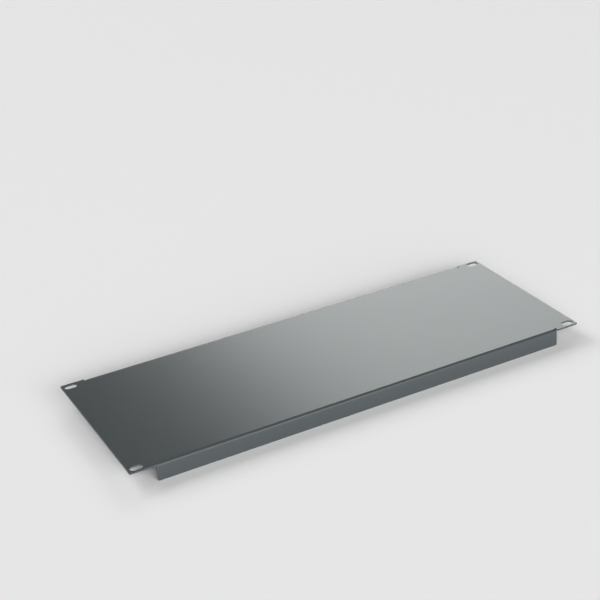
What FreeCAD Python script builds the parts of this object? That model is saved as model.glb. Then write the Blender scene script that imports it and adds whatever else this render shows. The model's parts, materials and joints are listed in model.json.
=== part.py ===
import FreeCAD, Part
import math
import os
import Sketcher

# Rack blanking panel, four rack units high: one sheet of steel, punched at its
# ears and folded back along both long edges.
#
# The panel lies face up on the cut edges of its two flanges. X runs along the
# panel, Y across it, and Z out of the face. The origin is under the middle of
# the face, in the plane of the flanges' cut edges. All lengths are millimetres.

NODE = "blanking_panel"

# Each size has its name, its value and what it measures.
SIZES = (
    ("face_width", 482.6, "panel along X, over both ears"),
    ("face_height", 177.0, "panel along Y, over both folds"),
    ("sheet_thickness", 1.5, "steel sheet"),
    ("bend_inner_radius", 1.5, "inside of each fold"),
    ("flange_depth", 17.3, "from the face to the cut edge of a flange"),
    ("ear_width", 25.4, "from an end of the panel to the end of a flange"),
    ("ear_corner_radius", 1.5, "outer corners of the ears"),
    ("flange_corner_radius", 1.5, "free corners of the flanges"),
    ("relief_width", 0.8, "slit between an ear and the end of a fold"),
    ("relief_overrun", 0.4, "straight side of a slit past the bend line"),
    ("relief_mouth_radius", 0.4, "corner where a slit opens at the ear's edge"),
    ("slot_length", 12.5, "fixing slot along X, end to end"),
    ("slot_width", 7.1, "fixing slot along Y"),
    ("slot_from_end", 8.75, "from an end of the panel to a slot's centre"),
    ("slot_from_edge", 5.95, "from a long edge of the panel to a slot's centre"),
    ("edge_rounding", 0.3, "rolled-over edge of the sheet's outer side"),
)

# Lengths that follow from the sizes, as formulas on the spreadsheet.
DERIVED = (
    ("bend_outer_radius", "=bend_inner_radius + sheet_thickness"),
    ("flange_half_length", "=face_width / 2 - ear_width"),
    ("relief_radius", "=relief_width / 2"),
    ("relief_depth", "=bend_outer_radius + relief_overrun"),
    ("slot_radius", "=slot_width / 2"),
    ("slot_straight", "=slot_length - slot_width"),
    ("slot_centre_x", "=face_width / 2 - slot_from_end"),
    ("slot_centre_y", "=face_height / 2 - slot_from_edge"),
)

# Two lengths nearer than this are the same.
TOLERANCE = 1e-4

# The names that a sketch's constraints use for the ends and the centre of a
# curve, and for the sketch's own origin.
START = 1
END = 2
CENTRE = 3
ORIGIN = -1


def make_sheet(doc):
    """Write the driving sizes, and what follows from them, into a spreadsheet."""
    sheet = doc.addObject("Spreadsheet::Sheet", "Sizes")
    for row, (alias, value, meaning) in enumerate(SIZES, start=1):
        sheet.set(f"A{row}", alias)
        sheet.set(f"B{row}", str(value))
        sheet.set(f"C{row}", meaning)
        sheet.setAlias(f"B{row}", alias)
    for row, (alias, formula) in enumerate(DERIVED, start=len(SIZES) + 2):
        sheet.set(f"A{row}", alias)
        sheet.set(f"B{row}", formula)
        sheet.setAlias(f"B{row}", alias)
    doc.recompute()
    return sheet


def origin_plane(body, role):
    """Return one of the body's own origin planes."""
    return next(plane for plane in body.Origin.OriginFeatures if plane.Role == role)


def new_sketch(body, name, role):
    """Add a sketch on one of the body's origin planes."""
    sketch = body.newObject("Sketcher::SketchObject", name)
    sketch.AttachmentSupport = [(origin_plane(body, role), "")]
    sketch.MapMode = "FlatFace"
    return sketch


def add_line(sketch, start, end):
    """Draw a straight edge from one point to another."""
    line = Part.LineSegment(FreeCAD.Vector(*start, 0), FreeCAD.Vector(*end, 0))
    return sketch.addGeometry(line, False)


def add_arc(sketch, centre, radius, first_degrees, last_degrees):
    """Draw an arc that runs counter-clockwise between two directions."""
    circle = Part.Circle(FreeCAD.Vector(*centre, 0), FreeCAD.Vector(0, 0, 1), radius)
    first = math.radians(first_degrees)
    last = math.radians(last_degrees)
    return sketch.addGeometry(Part.ArcOfCircle(circle, first, last), False)


def join(sketch, first, first_end, second, second_end):
    """Make the end of one edge meet the end of another."""
    sketch.addConstraint(Sketcher.Constraint("Coincident", first, first_end, second, second_end))


def blend(sketch, first, first_end, second, second_end):
    """Make two edges meet and run on smoothly."""
    sketch.addConstraint(Sketcher.Constraint("Tangent", first, first_end, second, second_end))


def dimension(sketch, name, constraint, formula):
    """Add a dimension and tie it to the spreadsheet."""
    index = sketch.addConstraint(constraint)
    sketch.renameConstraint(index, name)
    sketch.setExpression(f"Constraints.{name}", formula)


def place(sketch, name, geometry, end, x, y, x_formula, y_formula):
    """Dimension a point of the sketch from the sketch's origin."""
    across = Sketcher.Constraint("DistanceX", ORIGIN, START, geometry, end, x)
    dimension(sketch, f"{name}_x", across, x_formula)
    up = Sketcher.Constraint("DistanceY", ORIGIN, START, geometry, end, y)
    dimension(sketch, f"{name}_y", up, y_formula)


def make_plate(body, sheet):
    """Make the flat sheet, over both ears, with its face upwards."""
    sketch = new_sketch(body, "plate_outline", "XY_Plane")
    half_x = sheet.face_width / 2
    half_y = sheet.face_height / 2
    corners = ((-half_x, -half_y), (half_x, -half_y), (half_x, half_y), (-half_x, half_y))
    sides = [add_line(sketch, corners[i - 1], corners[i]) for i in range(4)]
    for i, side in enumerate(sides):
        join(sketch, sides[i - 1], END, side, START)
        direction = "Vertical" if i % 2 == 0 else "Horizontal"
        sketch.addConstraint(Sketcher.Constraint(direction, side))
    place(sketch, "first_corner", sides[0], END, -half_x, -half_y,
          "-Sizes.face_width / 2", "-Sizes.face_height / 2")
    place(sketch, "far_corner", sides[2], END, half_x, half_y,
          "Sizes.face_width / 2", "Sizes.face_height / 2")
    sketch.setExpression("AttachmentOffset.Base.z", "Sizes.flange_depth - Sizes.sheet_thickness")

    plate = body.newObject("PartDesign::Pad", "plate")
    plate.Profile = sketch
    plate.setExpression("Length", "Sizes.sheet_thickness")
    return plate


def make_slots(body, sheet):
    """Punch a fixing slot near each corner of the plate."""
    sketch = new_sketch(body, "slot_outline", "XY_Plane")
    radius = sheet.slot_radius
    left = (sheet.slot_centre_x - sheet.slot_straight / 2, sheet.slot_centre_y)
    right = (sheet.slot_centre_x + sheet.slot_straight / 2, sheet.slot_centre_y)
    low = add_line(sketch, (left[0], left[1] - radius), (right[0], right[1] - radius))
    right_end = add_arc(sketch, right, radius, -90, 90)
    high = add_line(sketch, (right[0], right[1] + radius), (left[0], left[1] + radius))
    left_end = add_arc(sketch, left, radius, 90, 270)
    blend(sketch, low, END, right_end, START)
    blend(sketch, right_end, END, high, START)
    blend(sketch, high, END, left_end, START)
    blend(sketch, left_end, END, low, START)
    round_end = Sketcher.Constraint("Radius", right_end, radius)
    dimension(sketch, "round_end", round_end, "Sizes.slot_radius")
    place(sketch, "left_centre", left_end, CENTRE, *left,
          "Sizes.slot_centre_x - Sizes.slot_straight / 2", "Sizes.slot_centre_y")
    place(sketch, "right_centre", right_end, CENTRE, *right,
          "Sizes.slot_centre_x + Sizes.slot_straight / 2", "Sizes.slot_centre_y")

    slot = body.newObject("PartDesign::Pocket", "slot")
    slot.Profile = sketch
    slot.Type = "ThroughAll"
    slot.Reversed = True
    return mirror_both_ways(body, slot, "slots")


def mirror_both_ways(body, feature, name):
    """Repeat a feature at the other end and along the other edge of the panel."""
    pattern = body.newObject("PartDesign::MultiTransform", name)
    pattern.Originals = [feature]
    steps = []
    for step, role in (("end_to_end", "YZ_Plane"), ("edge_to_edge", "XZ_Plane")):
        mirrored = body.newObject("PartDesign::Mirrored", f"{name}_{step}")
        mirrored.MirrorPlane = (origin_plane(body, role), [""])
        steps.append(mirrored)
    pattern.Transformations = steps
    body.Tip = pattern
    return pattern


def mirror_across(body, feature, name):
    """Repeat a feature along the other long edge of the panel."""
    mirrored = body.newObject("PartDesign::Mirrored", name)
    mirrored.Originals = [feature]
    mirrored.MirrorPlane = (origin_plane(body, "XZ_Plane"), [""])
    body.Tip = mirrored
    return mirrored


def make_fold_room(body, sheet):
    """Cut the plate back to the bend lines, with a round-ended slit at each end."""
    sketch = new_sketch(body, "fold_room_outline", "XY_Plane")
    radius = sheet.relief_radius
    inner = sheet.flange_half_length
    outer = inner + sheet.relief_width
    centre = inner + radius
    edge = sheet.face_height / 2
    bend_line = edge - sheet.bend_outer_radius
    low = edge - sheet.relief_depth
    left_outer = add_line(sketch, (-outer, edge), (-outer, low))
    left_round = add_arc(sketch, (-centre, low), radius, 180, 360)
    left_inner = add_line(sketch, (-inner, low), (-inner, bend_line))
    bend = add_line(sketch, (-inner, bend_line), (inner, bend_line))
    right_inner = add_line(sketch, (inner, bend_line), (inner, low))
    right_round = add_arc(sketch, (centre, low), radius, 180, 360)
    right_outer = add_line(sketch, (outer, low), (outer, edge))
    top = add_line(sketch, (outer, edge), (-outer, edge))
    blend(sketch, left_outer, END, left_round, START)
    blend(sketch, left_round, END, left_inner, START)
    join(sketch, left_inner, END, bend, START)
    join(sketch, bend, END, right_inner, START)
    blend(sketch, right_inner, END, right_round, START)
    blend(sketch, right_round, END, right_outer, START)
    join(sketch, right_outer, END, top, START)
    join(sketch, top, END, left_outer, START)
    for upright in (left_outer, right_outer):
        sketch.addConstraint(Sketcher.Constraint("Vertical", upright))
    for name, arc, side, sign in (("left", left_round, -1, "-"), ("right", right_round, 1, "")):
        round_end = Sketcher.Constraint("Radius", arc, radius)
        dimension(sketch, f"{name}_round_end", round_end, "Sizes.relief_radius")
        place(sketch, f"{name}_centre", arc, CENTRE, side * centre, low,
              f"{sign}(Sizes.flange_half_length + Sizes.relief_radius)",
              "Sizes.face_height / 2 - Sizes.relief_depth")
    place(sketch, "bend_start", bend, START, -inner, bend_line,
          "-Sizes.flange_half_length", "Sizes.face_height / 2 - Sizes.bend_outer_radius")
    place(sketch, "bend_end", bend, END, inner, bend_line,
          "Sizes.flange_half_length", "Sizes.face_height / 2 - Sizes.bend_outer_radius")
    for name, end in (("right_mouth", START), ("left_mouth", END)):
        height = Sketcher.Constraint("DistanceY", ORIGIN, START, top, end, edge)
        dimension(sketch, name, height, "Sizes.face_height / 2")

    room = body.newObject("PartDesign::Pocket", "fold_room")
    room.Profile = sketch
    room.Type = "ThroughAll"
    room.Reversed = True
    return mirror_across(body, room, "fold_rooms")


def make_flanges(body, sheet):
    """Fold a flange back along each long edge of the plate."""
    sketch = new_sketch(body, "fold_section", "YZ_Plane")
    inner_radius = sheet.bend_inner_radius
    outer_radius = sheet.bend_outer_radius
    thickness = sheet.sheet_thickness
    outside = sheet.face_height / 2
    face = sheet.flange_depth
    centre = (outside - outer_radius, face - outer_radius)
    outer_bend = add_arc(sketch, centre, outer_radius, 0, 90)
    root = add_line(sketch, (centre[0], face), (centre[0], face - thickness))
    inner_bend = add_arc(sketch, centre, inner_radius, 0, 90)
    inner_side = add_line(sketch, (outside - thickness, centre[1]), (outside - thickness, 0))
    cut_edge = add_line(sketch, (outside - thickness, 0), (outside, 0))
    outer_side = add_line(sketch, (outside, 0), (outside, centre[1]))
    join(sketch, outer_bend, END, root, START)
    join(sketch, root, END, inner_bend, END)
    join(sketch, inner_bend, START, inner_side, START)
    join(sketch, inner_side, END, cut_edge, START)
    join(sketch, cut_edge, END, outer_side, START)
    blend(sketch, outer_side, END, outer_bend, START)
    sketch.addConstraint(Sketcher.Constraint("Vertical", root))
    sketch.addConstraint(Sketcher.Constraint("Vertical", inner_side))
    sketch.addConstraint(Sketcher.Constraint("Horizontal", cut_edge))
    join(sketch, outer_bend, CENTRE, inner_bend, CENTRE)
    dimension(sketch, "outer_radius", Sketcher.Constraint("Radius", outer_bend, outer_radius),
              "Sizes.bend_outer_radius")
    dimension(sketch, "inner_radius", Sketcher.Constraint("Radius", inner_bend, inner_radius),
              "Sizes.bend_inner_radius")
    place(sketch, "bend_centre", outer_bend, CENTRE, *centre,
          "Sizes.face_height / 2 - Sizes.bend_outer_radius",
          "Sizes.flange_depth - Sizes.bend_outer_radius")
    place(sketch, "cut_corner", cut_edge, END, outside, 0, "Sizes.face_height / 2", "0 mm")

    flange = body.newObject("PartDesign::Pad", "flange")
    flange.Profile = sketch
    flange.SideType = "Symmetric"
    flange.setExpression("Length", "2 * Sizes.flange_half_length")
    return mirror_across(body, flange, "flanges")


def same(first, second):
    """Tell whether two lengths are the same."""
    return abs(first - second) < TOLERANCE


def crosses_sheet(edge, axis, thickness):
    """Tell whether an edge runs straight through the sheet along one axis."""
    if edge.Curve.TypeId != "Part::GeomLine":
        return False
    span = edge.Vertexes[-1].Point - edge.Vertexes[0].Point
    return same(abs(span.dot(axis)), thickness) and same(edge.Length, thickness)


def round_edges(body, name, base, is_wanted, formula):
    """Round the edges of a feature that a test picks out."""
    body.Document.recompute()
    edges = enumerate(base.Shape.Edges, start=1)
    rounded = body.newObject("PartDesign::Fillet", name)
    rounded.Base = (base, [f"Edge{i}" for i, edge in edges if is_wanted(edge)])
    rounded.setExpression("Radius", formula)
    return rounded


def round_plate_corners(body, name, base, sheet, x, formula):
    """Round the plate's corners that lie on its long edges at one distance from the middle."""
    upwards = FreeCAD.Vector(0, 0, 1)

    def is_corner(edge):
        """Tell whether an edge is one of those corners."""
        where = edge.CenterOfMass
        on_long_edge = same(abs(where.y), sheet.face_height / 2)
        at_distance = same(abs(where.x), x)
        return crosses_sheet(edge, upwards, sheet.sheet_thickness) and on_long_edge and at_distance

    return round_edges(body, name, base, is_corner, formula)


def round_flange_corners(body, base, sheet):
    """Round the free corners of the flanges."""
    across = FreeCAD.Vector(0, 1, 0)

    def is_corner(edge):
        """Tell whether an edge is a free corner of a flange."""
        where = edge.CenterOfMass
        at_end = same(abs(where.x), sheet.flange_half_length)
        return crosses_sheet(edge, across, sheet.sheet_thickness) and at_end and same(where.z, 0)

    return round_edges(body, "flange_corners", base, is_corner, "Sizes.flange_corner_radius")


def dress_outer_edges(body, base, sheet):
    """Round the edges of the sheet's outer side, all the way along.

    Each rounding starts on the border of the face and runs on smoothly: round a
    slot, or down the end of a fold and along its flange.
    """
    bend_line = sheet.face_height / 2 - sheet.bend_outer_radius

    def is_border(edge):
        """Tell whether an edge lies in the face and isn't one of its bend lines."""
        where = edge.CenterOfMass
        in_face = all(same(vertex.Z, sheet.flange_depth) for vertex in edge.Vertexes)
        is_bend_line = same(abs(where.y), bend_line) and same(where.x, 0)
        return in_face and not is_bend_line

    return round_edges(body, "dressed_edges", base, is_border, "Sizes.edge_rounding")


def make_panel(doc, sheet):
    """Build the panel as its maker does: cut, punch and fold it, then dress its edges."""
    body = doc.addObject("PartDesign::Body", NODE)
    body.Label = NODE
    make_plate(body, sheet)
    make_slots(body, sheet)
    make_fold_room(body, sheet)
    flanges = make_flanges(body, sheet)
    ears = round_plate_corners(body, "ear_corners", flanges, sheet,
                               sheet.face_width / 2, "Sizes.ear_corner_radius")
    mouths = round_plate_corners(body, "relief_mouths", ears, sheet,
                                 sheet.flange_half_length + sheet.relief_width,
                                 "Sizes.relief_mouth_radius")
    ends = round_flange_corners(body, mouths, sheet)
    body.Tip = dress_outer_edges(body, ends, sheet)
    return body


def check(doc, bodies):
    """Stop if any feature failed or any sub-part has no sound solid."""
    for item in doc.Objects:
        if {"Invalid", "Error"} & set(item.State):
            raise RuntimeError(f"{item.Name} failed: {item.State}")
    for body in bodies:
        if body.Shape.isNull() or not body.Shape.isValid() or len(body.Shape.Solids) != 1:
            raise RuntimeError(f"{body.Label} is not one sound solid")


def main():
    """Build the document and write each sub-part to its own file."""
    doc = FreeCAD.newDocument("RackBlankingPanel")
    sheet = make_sheet(doc)
    bodies = [make_panel(doc, sheet)]
    doc.recompute()
    check(doc, bodies)
    os.makedirs("parts", exist_ok=True)
    for body in bodies:
        body.Shape.exportStep(f"parts/{body.Label}.step")
        box = body.Shape.optimalBoundingBox(False)
        print(f"{body.Label}: {box.XLength:.3f} x {box.YLength:.3f} x {box.ZLength:.3f} mm, "
              f"{body.Shape.Volume:.1f} mm3")


main()
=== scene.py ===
"""Dress the rack blanking panel: one folded, powder-coated steel sheet on a pale studio floor."""

import json
import logging
import math
from dataclasses import dataclass
from enum import Enum
from typing import Any, Callable

import bmesh
import bpy
from mathutils import Matrix, Vector

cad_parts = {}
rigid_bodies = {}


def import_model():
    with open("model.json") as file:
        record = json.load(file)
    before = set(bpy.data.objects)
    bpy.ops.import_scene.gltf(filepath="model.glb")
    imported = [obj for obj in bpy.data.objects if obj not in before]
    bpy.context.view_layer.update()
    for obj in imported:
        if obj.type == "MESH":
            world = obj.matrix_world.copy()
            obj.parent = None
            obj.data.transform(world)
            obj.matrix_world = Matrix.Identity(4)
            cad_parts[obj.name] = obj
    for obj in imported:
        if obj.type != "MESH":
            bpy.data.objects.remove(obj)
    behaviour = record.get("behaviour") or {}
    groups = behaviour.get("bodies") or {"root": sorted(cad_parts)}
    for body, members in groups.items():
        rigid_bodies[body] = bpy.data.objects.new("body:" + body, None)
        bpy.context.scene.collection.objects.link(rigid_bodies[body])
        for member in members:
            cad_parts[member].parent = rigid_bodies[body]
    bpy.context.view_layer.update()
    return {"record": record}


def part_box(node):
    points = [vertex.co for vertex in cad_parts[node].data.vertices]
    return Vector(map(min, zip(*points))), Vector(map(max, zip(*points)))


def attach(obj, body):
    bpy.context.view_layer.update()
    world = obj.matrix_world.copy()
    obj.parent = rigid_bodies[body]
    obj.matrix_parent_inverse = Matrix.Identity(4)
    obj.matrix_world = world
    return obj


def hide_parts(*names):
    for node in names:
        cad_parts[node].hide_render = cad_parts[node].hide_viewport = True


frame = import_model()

LOG = logging.getLogger("blanking_panel")

MM = 0.001
"""One millimetre in metres, the unit of the scene."""

TOUCH = 1e-6
"""Points nearer than this, in metres, are the same point."""

PRIMITIVE_SIZE = 2
"""A new plane or cube reaches one unit each way, so it resizes to half lengths."""

CIRCULAR = 0.5
"""The bevel profile that rounds along a circle."""

NODE = "blanking_panel"
"""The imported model's one node."""

"""Where the two boxes go for comparing."""

MIX_FIRST, MIX_SECOND, MIX_RESULT = 6, 7, 2
"""A Mix node's colour sockets, by number, because its other sockets share their names."""


class Element(Enum):
    """What a selection picks: the corners, edges or faces of a mesh."""

    VERTS = "verts"
    EDGES = "edges"
    FACES = "faces"


# --------------------------------------------------------------------------
# Working on a mesh as by hand
# --------------------------------------------------------------------------


def deselect_all() -> None:
    """Deselect every object in the scene."""
    for item in bpy.context.view_layer.objects:
        item.select_set(False)


def start_editing(piece: bpy.types.Object) -> None:
    """Enter edit mode on one object only.

    Args:
        piece: The mesh object to edit.
    """
    deselect_all()
    piece.select_set(True)
    bpy.context.view_layer.objects.active = piece
    bpy.ops.object.mode_set(mode="EDIT")


def stop_editing() -> None:
    """Return to object mode."""
    bpy.ops.object.mode_set(mode="OBJECT")


def pick(piece: bpy.types.Object, element: Element, wanted: Callable[[Any], bool]) -> None:
    """Select the elements that a test picks out, and nothing else.

    Args:
        piece: The mesh object in edit mode.
        element: The kind of element to select.
        wanted: The test, which takes a BMesh element.
    """
    bpy.ops.mesh.select_all(action="DESELECT")
    bpy.context.tool_settings.mesh_select_mode = [kind is element for kind in Element]
    mesh = bmesh.from_edit_mesh(piece.data)
    for item in getattr(mesh, element.value):
        if wanted(item):
            item.select_set(True)
    mesh.select_flush_mode()
    bmesh.update_edit_mesh(piece.data)


def middle(edge: bmesh.types.BMEdge) -> Vector:
    """Return the point halfway along an edge."""
    return (edge.verts[0].co + edge.verts[1].co) / 2


def near(first: float, second: float) -> bool:
    """Tell whether two lengths are the same."""
    return abs(first - second) < TOUCH


def apply_modifier(piece: bpy.types.Object, kind: str, **settings: Any) -> None:
    """Add a modifier, set it up and apply it.

    Args:
        piece: The object that gets the modifier.
        kind: Blender's name of the modifier's type.
        **settings: The modifier's settings.
    """
    deselect_all()
    piece.select_set(True)
    bpy.context.view_layer.objects.active = piece
    modifier = piece.modifiers.new(kind.title(), kind)
    for name, value in settings.items():
        setattr(modifier, name, value)
    bpy.ops.object.modifier_apply(modifier=modifier.name)


# --------------------------------------------------------------------------
# The sheet
# --------------------------------------------------------------------------


@dataclass
class FoldedSheet:
    """The panel's one piece: a steel sheet, cut, punched and folded.

    Lengths are in metres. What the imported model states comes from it: the
    overall size, the sheet's thickness and the fixing slots.
    """

    half_width: float
    half_height: float
    depth: float
    thickness: float
    slot_centre: Vector
    slot_length: float
    slot_width: float
    bend_inner_radius: float = 1.5 * MM
    ear_width: float = 25.4 * MM
    ear_corner_radius: float = 1.5 * MM
    flange_corner_radius: float = 1.5 * MM
    relief_width: float = 0.8 * MM
    relief_overrun: float = 0.4 * MM
    relief_mouth_radius: float = 0.4 * MM
    outer_edge_rounding: float = 0.3 * MM
    inner_edge_rounding: float = 0.1 * MM
    bend_steps: int = 24
    corner_steps: int = 8
    slot_steps: int = 16
    outer_rounding_steps: int = 4
    inner_rounding_steps: int = 2
    flat_angle: float = math.radians(1)
    """Faces that turn less than this are one flat face."""
    cut_angle: float = math.radians(60)
    """A cut face meets a skin at a sharper turn than this."""
    smooth_angle: float = math.radians(50)
    """Faces that turn less than this shade as one curve."""
    skin_share: float = 0.1
    """A point within this share of the thickness of a skin lies on it."""

    @classmethod
    def from_frame(cls, record: dict[str, Any]) -> "FoldedSheet":
        """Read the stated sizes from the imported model.

        Args:
            record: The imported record.

        Returns:
            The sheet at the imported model's size.
        """
        _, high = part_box(NODE)
        slots = next(mount for mount in record["mounts"] if mount["name"] == "rail_slots")
        dims = slots["dims"]
        centre = Vector((dims["spacing_x_mm"] / 2 * MM, dims["spacing_y_mm"] / 2 * MM, 0))
        return cls(
            half_width=high.x,
            half_height=high.y,
            depth=high.z,
            thickness=round(2 * (high.z - slots["pos_m"][2]), 6),
            slot_centre=centre,
            slot_length=dims["slot_length_mm"] * MM,
            slot_width=2 * dims["hole_r_mm"] * MM,
        )

    @property
    def bend_outer_radius(self) -> float:
        """Outside radius of a fold."""
        return self.bend_inner_radius + self.thickness

    @property
    def flange_end(self) -> float:
        """Distance from the middle to the end of a flange."""
        return self.half_width - self.ear_width

    @property
    def bend_line(self) -> float:
        """Distance from the middle to the line where a fold starts."""
        return self.half_height - self.bend_outer_radius

    @property
    def bend_height(self) -> float:
        """Height where a fold ends and its flange hangs straight."""
        return self.depth - self.bend_outer_radius

    def build(self) -> bpy.types.Object:
        """Make the finished sheet.

        Returns:
            The mesh object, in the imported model's frame.
        """
        sheet = self.cut_blank()
        self.fold_flanges(sheet)
        apply_modifier(sheet, "SOLIDIFY", thickness=self.thickness, offset=-1.0,
                       use_even_offset=True, use_quality_normals=True)
        self.punch_slots(sheet)
        self.round_edges(sheet)
        self.smooth(sheet)
        return sheet

    def cut_blank(self) -> bpy.types.Object:
        """Cut the flat blank, as the sheet's outer skin without its flanges.

        Returns:
            A single flat face with the reliefs cut and the corners rounded.
        """
        deselect_all()
        bpy.ops.mesh.primitive_plane_add(size=PRIMITIVE_SIZE, location=(0, 0, self.depth))
        blank = bpy.context.active_object
        blank.name = "folded_sheet"
        blank.data.name = "folded_sheet"
        bpy.ops.object.transform_apply(location=True, rotation=True, scale=True)
        start_editing(blank)
        bpy.ops.transform.resize(value=(self.half_width, self.half_height, 1))
        relief_side = self.flange_end + self.relief_width
        relief_end = self.bend_line - self.relief_overrun - self.relief_width / 2
        for x in (self.flange_end, relief_side):
            self.cut_across(Vector((x, 0, 0)))
        for y in (relief_end, self.bend_line):
            self.cut_across(Vector((0, y, 0)))

        def is_waste(face: bmesh.types.BMFace) -> bool:
            """Tell whether a face is in a relief or beyond a bend line."""
            x, y, _ = (abs(length) for length in face.calc_center_median())
            beyond_bend = x < relief_side and y > self.bend_line
            in_relief = self.flange_end < x < relief_side and y > relief_end
            return beyond_bend or in_relief

        pick(blank, Element.FACES, is_waste)
        bpy.ops.mesh.delete(type="FACE")
        bpy.ops.mesh.select_all(action="SELECT")
        bpy.ops.mesh.dissolve_limited(angle_limit=self.flat_angle)
        self.round_corners(blank, self.half_width, self.half_height, self.ear_corner_radius)
        self.round_corners(blank, relief_side, self.half_height, self.relief_mouth_radius)
        for x in (self.flange_end, relief_side):
            self.round_corners(blank, x, relief_end, self.relief_width / 2)
        bpy.ops.mesh.select_all(action="SELECT")
        bpy.ops.mesh.remove_doubles(threshold=TOUCH)
        stop_editing()
        return blank

    def cut_across(self, place: Vector) -> None:
        """Cut the blank along a straight line, and along its mirror line.

        Args:
            place: A point on the line, which is square to the way to that point.
        """
        for side in (-1, 1):
            bpy.ops.mesh.select_all(action="SELECT")
            bpy.ops.mesh.bisect(plane_co=side * place, plane_no=place.normalized())

    def round_corners(self, blank: bpy.types.Object, x: float, y: float, radius: float) -> None:
        """Round the blank's corners that lie at one distance each way from its middle.

        Args:
            blank: The flat blank, in edit mode.
            x: Distance from the middle along the panel.
            y: Distance from the middle across the panel.
            radius: Radius of the rounded corner.
        """
        pick(blank, Element.VERTS, lambda vert: near(abs(vert.co.x), x) and near(abs(vert.co.y), y))
        bpy.ops.mesh.bevel(affect="VERTICES", offset=radius, offset_type="OFFSET",
                           segments=self.corner_steps, profile=CIRCULAR, clamp_overlap=False)

    def fold_flanges(self, blank: bpy.types.Object) -> None:
        """Fold a flange down along each long edge of the blank.

        Args:
            blank: The flat blank, which gains its folds and flanges.
        """
        start_editing(blank)
        for side in (-1, 1):
            line = side * self.bend_line
            pick(blank, Element.EDGES,
                 lambda edge: near(middle(edge).y, line) and near(middle(edge).x, 0))
            bpy.ops.mesh.spin(steps=self.bend_steps, angle=math.pi / 2, axis=(side, 0, 0),
                              center=(0, line, self.bend_height))
            bpy.ops.mesh.extrude_region_move(
                TRANSFORM_OT_translate={"value": (0, 0, -self.bend_height)})
        pick(blank, Element.VERTS, lambda vert: near(vert.co.z, 0))
        bpy.ops.mesh.bevel(affect="VERTICES", offset=self.flange_corner_radius,
                           offset_type="OFFSET", segments=self.corner_steps, profile=CIRCULAR)
        bpy.ops.mesh.select_all(action="SELECT")
        bpy.ops.mesh.remove_doubles(threshold=TOUCH)
        bpy.ops.mesh.normals_make_consistent(inside=False)
        mesh = bmesh.from_edit_mesh(blank.data)
        face = max(mesh.faces, key=lambda item: item.calc_area())
        if face.normal.z < 0:
            bpy.ops.mesh.flip_normals()
        stop_editing()

    def punch_slots(self, sheet: bpy.types.Object) -> None:
        """Punch a round-ended slot near each corner of the sheet.

        Args:
            sheet: The folded sheet with its full thickness.
        """
        for x in (-self.slot_centre.x, self.slot_centre.x):
            for y in (-self.slot_centre.y, self.slot_centre.y):
                punch = self.make_punch(Vector((x, y, self.depth)))
                apply_modifier(sheet, "BOOLEAN", object=punch, operation="DIFFERENCE", solver="EXACT")
                bpy.data.objects.remove(punch)

    def make_punch(self, place: Vector) -> bpy.types.Object:
        """Make a round-ended punch.

        Args:
            place: The middle of the slot, in the plane of the face.

        Returns:
            A closed prism that reaches past both sides of the sheet.
        """
        deselect_all()
        bpy.ops.mesh.primitive_cube_add(size=PRIMITIVE_SIZE, location=place)
        punch = bpy.context.active_object
        bpy.ops.object.transform_apply(location=True, rotation=True, scale=True)
        start_editing(punch)
        size = (self.slot_length / 2, self.slot_width / 2, 2 * self.thickness)
        bpy.ops.transform.resize(value=size, center_override=place)
        pick(punch, Element.EDGES,
             lambda edge: near(edge.verts[0].co.x, edge.verts[1].co.x)
             and near(edge.verts[0].co.y, edge.verts[1].co.y))
        bpy.ops.mesh.bevel(affect="EDGES", offset=self.slot_width / 2, offset_type="OFFSET",
                           segments=self.slot_steps, profile=CIRCULAR, clamp_overlap=False)
        bpy.ops.mesh.select_all(action="SELECT")
        bpy.ops.mesh.remove_doubles(threshold=TOUCH)
        bpy.ops.mesh.normals_make_consistent(inside=False)
        stop_editing()
        return punch

    def round_edges(self, sheet: bpy.types.Object) -> None:
        """Round the sheet's cut edges, more on the outer side than on the inner.

        Args:
            sheet: The folded and punched sheet.
        """
        start_editing(sheet)
        bpy.ops.mesh.select_all(action="SELECT")
        bpy.ops.mesh.remove_doubles(threshold=TOUCH)
        self.round_skin(sheet, self.on_outer_skin, self.outer_edge_rounding,
                        self.outer_rounding_steps)
        self.round_skin(sheet, self.on_inner_skin, self.inner_edge_rounding,
                        self.inner_rounding_steps)
        stop_editing()

    def round_skin(self, sheet: bpy.types.Object, is_skin: Callable[[Vector], bool],
                   radius: float, steps: int) -> None:
        """Round the edges between one skin of the sheet and its cut faces.

        Args:
            sheet: The sheet, in edit mode.
            is_skin: The test for a point on that skin.
            radius: Radius of the rounding.
            steps: How many faces the rounding has across.
        """
        pick(sheet, Element.EDGES,
             lambda edge: edge.calc_face_angle(0) > self.cut_angle
             and all(is_skin(vert.co) for vert in edge.verts))
        bpy.ops.mesh.bevel(affect="EDGES", offset=radius, offset_type="OFFSET",
                           segments=steps, profile=CIRCULAR, clamp_overlap=False)

    def skin_gap(self, point: Vector) -> float:
        """Measure how deep a point lies below the sheet's outer skin.

        Args:
            point: A point of the sheet.

        Returns:
            The depth below the outer skin, in metres.
        """
        across = abs(point.y) - self.bend_line
        below = self.depth - point.z
        if abs(point.x) > self.flange_end + TOUCH or across <= 0:
            return below
        if point.z <= self.bend_height:
            return self.half_height - abs(point.y)
        from_centre = math.hypot(across, point.z - self.bend_height)
        return self.bend_outer_radius - from_centre

    def on_outer_skin(self, point: Vector) -> bool:
        """Tell whether a point lies on the sheet's outer skin."""
        return abs(self.skin_gap(point)) < self.skin_share * self.thickness

    def on_inner_skin(self, point: Vector) -> bool:
        """Tell whether a point lies on the sheet's inner skin."""
        return abs(self.skin_gap(point) - self.thickness) < self.skin_share * self.thickness

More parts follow.
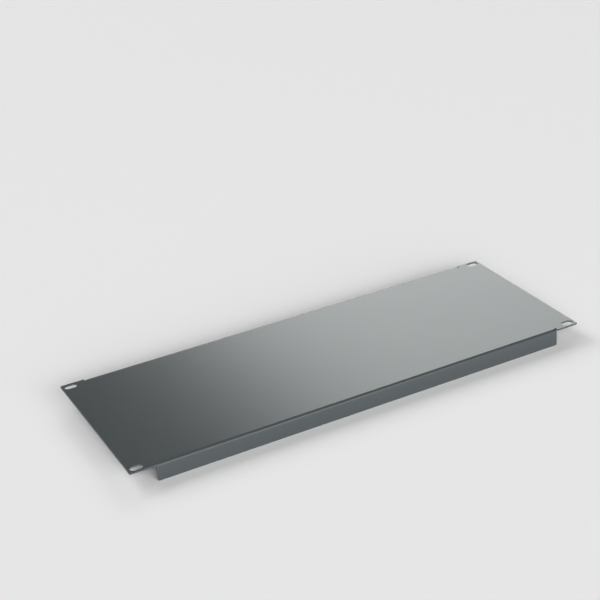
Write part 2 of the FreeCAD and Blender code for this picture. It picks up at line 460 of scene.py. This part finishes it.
    def smooth(self, sheet: bpy.types.Object) -> None:
        """Shade the folds and roundings smooth, and keep the flats flat.

        Args:
            sheet: The finished sheet.
        """
        deselect_all()
        sheet.select_set(True)
        bpy.context.view_layer.objects.active = sheet
        bpy.ops.object.shade_smooth_by_angle(angle=self.smooth_angle)
        apply_modifier(sheet, "WEIGHTED_NORMAL", mode="FACE_AREA", weight=100, keep_sharp=True)


# --------------------------------------------------------------------------
# Finishes
# --------------------------------------------------------------------------


def linear(hex_colour: str) -> tuple[float, float, float, float]:
    """Turn an sRGB hex colour into a linear one.

    Args:
        hex_colour: The colour as #rrggbb.

    Returns:
        Red, green, blue and alpha, from 0 to 1.
    """
    channels = [int(hex_colour[place:place + 2], 16) / 255 for place in (1, 3, 5)]
    red, green, blue = (level / 12.92 if level <= 0.04045 else ((level + 0.055) / 1.055) ** 2.4
                        for level in channels)
    return red, green, blue, 1.0


def per_metre(size_mm: float) -> float:
    """Return the texture scale that gives features of a size in millimetres."""
    return 1 / (size_mm * MM)


def empty_tree(holder: bpy.types.Material | bpy.types.World) -> bpy.types.NodeTree:
    """Give a material or a world a node tree with nothing in it.

    Args:
        holder: The new material or world.

    Returns:
        Its empty node tree.
    """
    holder.use_nodes = True
    holder.node_tree.nodes.clear()
    return holder.node_tree


def add_node(tree: bpy.types.NodeTree, kind: str, settings: dict[str, Any] | None = None,
             inputs: dict[str | int, Any] | None = None) -> bpy.types.Node:
    """Add a node to a tree, set it up and link it.

    Args:
        tree: The node tree.
        kind: Blender's name of the node's type.
        settings: The node's own properties.
        inputs: A value for each input, by name or number, or the output to link to it.

    Returns:
        The new node.
    """
    node = tree.nodes.new(kind)
    for name, value in (settings or {}).items():
        setattr(node, name, value)
    for name, value in (inputs or {}).items():
        if isinstance(value, bpy.types.NodeSocket):
            tree.links.new(value, node.inputs[name])
        else:
            node.inputs[name].default_value = value
    return node


@dataclass(frozen=True)
class PowderCoat:
    """Graphite-grey satin powder coat, sprayed on sheet steel and baked.

    The powder melts into one closed film, so the steel looks like a satin
    plastic: dark from above, and pale where a low view mirrors a lamp. The
    film keeps a faint orange peel and a fine grain.
    """

    name: str = "graphite_powder_coat_on_steel"
    colour: str = "#43484a"
    thin_colour: str = "#464b4d"
    sheen_tint: str = "#f4fffa"
    """The film mirrors pale things a touch cooler than they are."""
    ior: float = 1.5
    roughness_low: float = 0.195
    roughness_high: float = 0.205
    cloud_mm: float = 55.0
    gloss_patch_mm: float = 14.0
    peel_mm: float = 2.4
    peel_height_mm: float = 0.012
    grain_mm: float = 0.7
    """Real grain is near 0.1 mm, so it is drawn coarser to show at all."""
    grain_height_mm: float = 0.0025

    def make(self) -> bpy.types.Material:
        """Make the coat's material.

        Returns:
            The node-based material.
        """
        material = bpy.data.materials.new(self.name)
        tree = empty_tree(material)
        place = add_node(tree, "ShaderNodeTexCoord").outputs["Object"]
        cloud = add_node(tree, "ShaderNodeTexNoise", inputs={
            "Vector": place, "Scale": per_metre(self.cloud_mm), "Detail": 3.0, "Roughness": 0.55})
        colour = add_node(tree, "ShaderNodeMix", {"data_type": "RGBA"}, {
            "Factor": cloud.outputs["Fac"], MIX_FIRST: linear(self.colour),
            MIX_SECOND: linear(self.thin_colour)})
        patches = add_node(tree, "ShaderNodeTexNoise", inputs={
            "Vector": place, "Scale": per_metre(self.gloss_patch_mm), "Detail": 2.0})
        gloss = add_node(tree, "ShaderNodeMapRange", inputs={
            "Value": patches.outputs["Fac"], "From Min": 0.3, "From Max": 0.7,
            "To Min": self.roughness_low, "To Max": self.roughness_high})
        peel = add_node(tree, "ShaderNodeTexNoise", inputs={
            "Vector": place, "Scale": per_metre(self.peel_mm), "Detail": 1.0})
        grain = add_node(tree, "ShaderNodeTexNoise", inputs={
            "Vector": place, "Scale": per_metre(self.grain_mm), "Detail": 1.0})
        rippled = add_node(tree, "ShaderNodeBump", inputs={
            "Height": peel.outputs["Fac"], "Strength": 1.0, "Distance": self.peel_height_mm * MM})
        grained = add_node(tree, "ShaderNodeBump", inputs={
            "Height": grain.outputs["Fac"], "Strength": 1.0, "Distance": self.grain_height_mm * MM,
            "Normal": rippled.outputs["Normal"]})
        coat = add_node(tree, "ShaderNodeBsdfPrincipled", inputs={
            "Base Color": colour.outputs[MIX_RESULT], "Roughness": gloss.outputs["Result"],
            "IOR": self.ior, "Specular Tint": linear(self.sheen_tint),
            "Normal": grained.outputs["Normal"]})
        add_node(tree, "ShaderNodeOutputMaterial", inputs={"Surface": coat.outputs["BSDF"]})
        return material


@dataclass(frozen=True)
class StudioPaper:
    """Pale matte background paper, rolled from pulp, so it has no shine of its own."""

    name: str = "pale_background_paper"
    colour: str = "#f4f4f4"
    fleck_colour: str = "#f1f1f1"
    roughness: float = 0.9
    specular_level: float = 0.0
    fibre_mm: float = 4.0
    fibre_height_mm: float = 0.02

    def make(self) -> bpy.types.Material:
        """Make the paper's material.

        Returns:
            The node-based material.
        """
        material = bpy.data.materials.new(self.name)
        tree = empty_tree(material)
        place = add_node(tree, "ShaderNodeTexCoord").outputs["Object"]
        fibre = add_node(tree, "ShaderNodeTexNoise", inputs={
            "Vector": place, "Scale": per_metre(self.fibre_mm), "Detail": 3.0})
        colour = add_node(tree, "ShaderNodeMix", {"data_type": "RGBA"}, {
            "Factor": fibre.outputs["Fac"], MIX_FIRST: linear(self.colour),
            MIX_SECOND: linear(self.fleck_colour)})
        pressed = add_node(tree, "ShaderNodeBump", inputs={
            "Height": fibre.outputs["Fac"], "Strength": 1.0, "Distance": self.fibre_height_mm * MM})
        paper = add_node(tree, "ShaderNodeBsdfPrincipled", inputs={
            "Base Color": colour.outputs[MIX_RESULT], "Roughness": self.roughness,
            "Specular IOR Level": self.specular_level, "Normal": pressed.outputs["Normal"]})
        add_node(tree, "ShaderNodeOutputMaterial", inputs={"Surface": paper.outputs["BSDF"]})
        return material


# --------------------------------------------------------------------------
# Studio
# --------------------------------------------------------------------------


def looking(azimuth: float, elevation: float, roll: float = 0.0) -> Matrix:
    """Turn a camera or a lamp so that it looks back along a direction.

    Args:
        azimuth: Degrees round from the front of the panel, to the right.
        elevation: Degrees up from the floor.
        roll: Degrees of turn about the line of sight.

    Returns:
        The rotation for something that stands in that direction.
    """
    around = Matrix.Rotation(math.radians(azimuth), 4, "Z")
    tip = Matrix.Rotation(math.radians(90 - elevation), 4, "X")
    return around @ tip @ Matrix.Rotation(math.radians(roll), 4, "Z")


@dataclass(frozen=True)
class ProductCamera:
    """The camera, given by the point that it looks at and where it stands from there."""

    aim: tuple[float, float, float] = (0.0362, 0.1159, 0.0173)
    distance: float = 1.4676
    azimuth: float = -26.662
    elevation: float = 26.983
    roll: float = -3.797
    lens: float = 83.34

    def build(self) -> bpy.types.Object:
        """Add the camera and make it the scene's.

        Returns:
            The camera object.
        """
        data = bpy.data.cameras.new("product_camera")
        data.lens = self.lens
        camera = bpy.data.objects.new("product_camera", data)
        bpy.context.scene.collection.objects.link(camera)
        turn = looking(self.azimuth, self.elevation, self.roll)
        back = turn @ Vector((0, 0, self.distance))
        camera.matrix_world = Matrix.Translation(Vector(self.aim) + back) @ turn
        bpy.context.scene.camera = camera
        return camera


@dataclass(frozen=True)
class SoftBox:
    """An evenly lit rectangle, out of the camera's sight, that lights the panel.

    It stands at its centre and faces back along its azimuth and elevation.
    Lengths are in metres, and a radiance of 1 would show as white.
    """

    name: str
    centre: tuple[float, float, float]
    width: float
    length: float
    radiance: float
    azimuth: float = 0.0
    elevation: float = 90.0
    mirrored: bool = True
    """Whether glossy pieces show the lamp itself, and not only its light."""

    def build(self) -> bpy.types.Object:
        """Add the lamp.

        Returns:
            The lamp object.
        """
        data = bpy.data.lights.new(self.name, "AREA")
        data.shape = "RECTANGLE"
        data.size = self.width
        data.size_y = self.length
        data.energy = self.radiance * math.pi * self.width * self.length
        lamp = bpy.data.objects.new(self.name, data)
        bpy.context.scene.collection.objects.link(lamp)
        turn = looking(self.azimuth, self.elevation)
        lamp.matrix_world = Matrix.Translation(self.centre) @ turn
        lamp.visible_camera = False
        lamp.visible_glossy = self.mirrored
        return lamp


@dataclass(frozen=True)
class GradedBox:
    """A wide level soft box over the rear, made of strips that are lit unequally.

    Its left edge is dim, it is brightest a little way in, and it fades
    slowly to the right. The face mirrors that, and turns from dark to pale.
    """

    name: str
    near: float
    far: float
    height: float
    left_edges: tuple[float, ...]
    radiances: tuple[float, ...]
    right_edge: float

    def build(self) -> list[bpy.types.Object]:
        """Add the strips.

        Returns:
            The lamp objects, from left to right.
        """
        lamps = []
        right_edges = self.left_edges[1:] + (self.right_edge,)
        for left, right, radiance in zip(self.left_edges, right_edges, self.radiances):
            centre = ((left + right) / 2, (self.near + self.far) / 2, self.height)
            strip = SoftBox(f"{self.name}_{len(lamps)}", centre, right - left,
                            self.far - self.near, radiance)
            lamps.append(strip.build())
        return lamps


@dataclass
class Studio:
    """The paper floor, the soft boxes and the room round the panel.

    The boxes are large and far off, so that they light the floor evenly. The
    fill box is strong and low. The film doesn't mirror it, because the face
    would show it as a white sheet when looked at from the rear.
    """

    floor_size: float = 13.0
    room_light: float = 0.06
    backdrop_light: float = 0.78
    backdrop_top: float = 10.0
    """Degrees above the floor where the backdrop starts to fade."""
    room_start: float = 16.0
    """Degrees above the floor where only the dim room is left."""
    rear_box: GradedBox = GradedBox(
        "rear_box", near=11.0, far=33.4, height=10.0, left_edges=(5.98, 6.9, 7.81, 10.33, 12.62),
        radiances=(0.3, 2.75, 4.0, 3.6, 3.3), right_edge=23.6)
    front_box: SoftBox = SoftBox(
        "front_box", centre=(-3.1, -19.6, 10.6), width=33.9, length=11.2, radiance=3.0,
        azimuth=-9, elevation=28)
    fill_box: SoftBox = SoftBox(
        "fill_box", centre=(-3.0, -21.7, 5.8), width=29.0, length=9.5, radiance=6.1,
        azimuth=0, elevation=15, mirrored=False)
    key_box: SoftBox = SoftBox(
        "key_box", centre=(-9.2, 15.95, 12.9), width=13.75, length=13.75, radiance=4.7,
        azimuth=-150, elevation=35)

    def build(self) -> None:
        """Lay the floor, hang the lamps and set up the room."""
        floor = self.lay_floor()
        LOG.info("%s: %.0f m across", floor.name, self.floor_size)
        for box in (self.rear_box, self.front_box, self.fill_box, self.key_box):
            box.build()
            LOG.info("%s: lit", box.name)
        self.set_room()
        bpy.context.scene.view_settings.view_transform = "Standard"

    def set_room(self) -> bpy.types.World:
        """Put a dim grey room above a pale backdrop that runs on from the floor.

        The eye, and what the film mirrors, see the backdrop up to a low
        height all round. It adds no light to the panel.

        Returns:
            The world.
        """
        world = bpy.data.worlds.new("studio_room")
        tree = empty_tree(world)
        way = add_node(tree, "ShaderNodeTexCoord").outputs["Generated"]
        rise = add_node(tree, "ShaderNodeSeparateXYZ", inputs={"Vector": way}).outputs["Z"]
        low = add_node(tree, "ShaderNodeMapRange", {"interpolation_type": "SMOOTHSTEP"}, {
            "Value": rise, "From Min": math.sin(math.radians(self.backdrop_top)),
            "From Max": math.sin(math.radians(self.room_start)), "To Min": 1.0, "To Max": 0.0})
        rays = add_node(tree, "ShaderNodeLightPath").outputs
        seen = rays["Is Camera Ray"]
        for kind in ("Is Glossy Ray", "Is Transmission Ray"):
            seen = add_node(tree, "ShaderNodeMath", {"operation": "MAXIMUM"}, {
                0: seen, 1: rays[kind]}).outputs["Value"]
        share = add_node(tree, "ShaderNodeMath", {"operation": "MULTIPLY"}, {
            0: low.outputs["Result"], 1: seen})
        room, backdrop = (
            add_node(tree, "ShaderNodeBackground", inputs={"Color": (level, level, level, 1)})
            for level in (self.room_light, self.backdrop_light))
        both = add_node(tree, "ShaderNodeMixShader", inputs={
            0: share.outputs["Value"], 1: room.outputs["Background"],
            2: backdrop.outputs["Background"]})
        add_node(tree, "ShaderNodeOutputWorld", inputs={"Surface": both.outputs["Shader"]})
        bpy.context.scene.world = world
        return world

    def lay_floor(self) -> bpy.types.Object:
        """Lay the paper under the panel.

        Returns:
            The floor object.
        """
        deselect_all()
        bpy.ops.mesh.primitive_plane_add(size=self.floor_size, location=(0, 0, 0))
        floor = bpy.context.active_object
        floor.name = "paper_floor"
        floor.data.materials.append(StudioPaper().make())
        return floor


def main() -> None:
    """Build the panel, its finish and the studio, in that order."""
    logging.basicConfig(level=logging.INFO, format="%(message)s")
    sheet = FoldedSheet.from_frame(frame["record"]).build()
    sheet.data.materials.clear()
    sheet.data.materials.append(PowderCoat().make())
    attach(sheet, "root")
    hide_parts(NODE)
    LOG.info("%s: %d faces, %s", sheet.name, len(sheet.data.polygons), sheet.active_material.name)
    Studio().build()
    camera = ProductCamera().build()
    LOG.info("%s: %.1f mm lens", camera.name, camera.data.lens)


if __name__ == "__main__":
    main()
